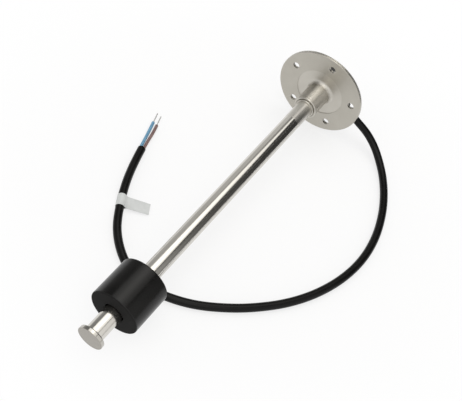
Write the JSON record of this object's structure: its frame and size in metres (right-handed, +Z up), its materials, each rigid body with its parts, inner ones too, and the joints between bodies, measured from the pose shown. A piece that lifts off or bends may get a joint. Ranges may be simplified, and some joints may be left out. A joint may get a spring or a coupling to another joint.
{
  "type": "fuel level sender",
  "caption": "Fuel level sender: flanged stainless stem with a sliding magnet float, an end plug and a loose black cable with bare wire ends, lying flat.",
  "frame": {"origin": "on the surface that the sender lies on, below the middle of the sender without its cable", "axes": "+X along the stem's lie towards the flange, +Z up; the stem rises 3.1 degrees towards the flange"},
  "size_m": [0.2862, 0.1906, 0.07],
  "materials": {
    "flange_steel": "bead-blasted satin stainless",
    "polished_steel": "polished stainless",
    "float_rubber": "satin closed-cell foam rubber",
    "magnet_ferrite": "sintered ferrite",
    "boot_rubber": "moulded, matt",
    "cable_black": "satin PVC",
    "label_white": "matt film",
    "wire_blue": "PVC insulation",
    "wire_brown": "PVC insulation",
    "tinned_copper": "tinned strands",
    "resin_black": "cast resin",
    "board_green": "solder resist",
    "reed_glass": "clear",
    "chip_ceramic": "glazed chip"
  },
  "bodies": {
    "sender": {"mounting_flange": "flange_steel", "stem_tube": "polished_steel", "end_plug": "polished_steel", "potting_plug": "resin_black", "cable_boot": "boot_rubber", "circuit_board": "board_green", "reed_capsules": "reed_glass", "reed_leads": "tinned_copper", "chip_resistors": "chip_ceramic", "blue_lead": "wire_blue", "brown_lead": "wire_brown", "cable_jacket": "cable_black", "cable_label": "label_white", "blue_wire": "wire_blue", "brown_wire": "wire_brown", "blue_conductor": "tinned_copper", "brown_conductor": "tinned_copper"},
    "float": {"float_body": "float_rubber", "float_magnet": "magnet_ferrite"}
  },
  "joints": [
    {"name": "float_slide", "type": "slide", "parent": "sender", "child": "float", "axis": [0.9986, 0, 0.0534], "range_m": [-0.0184, 0.1908]}
  ]
}
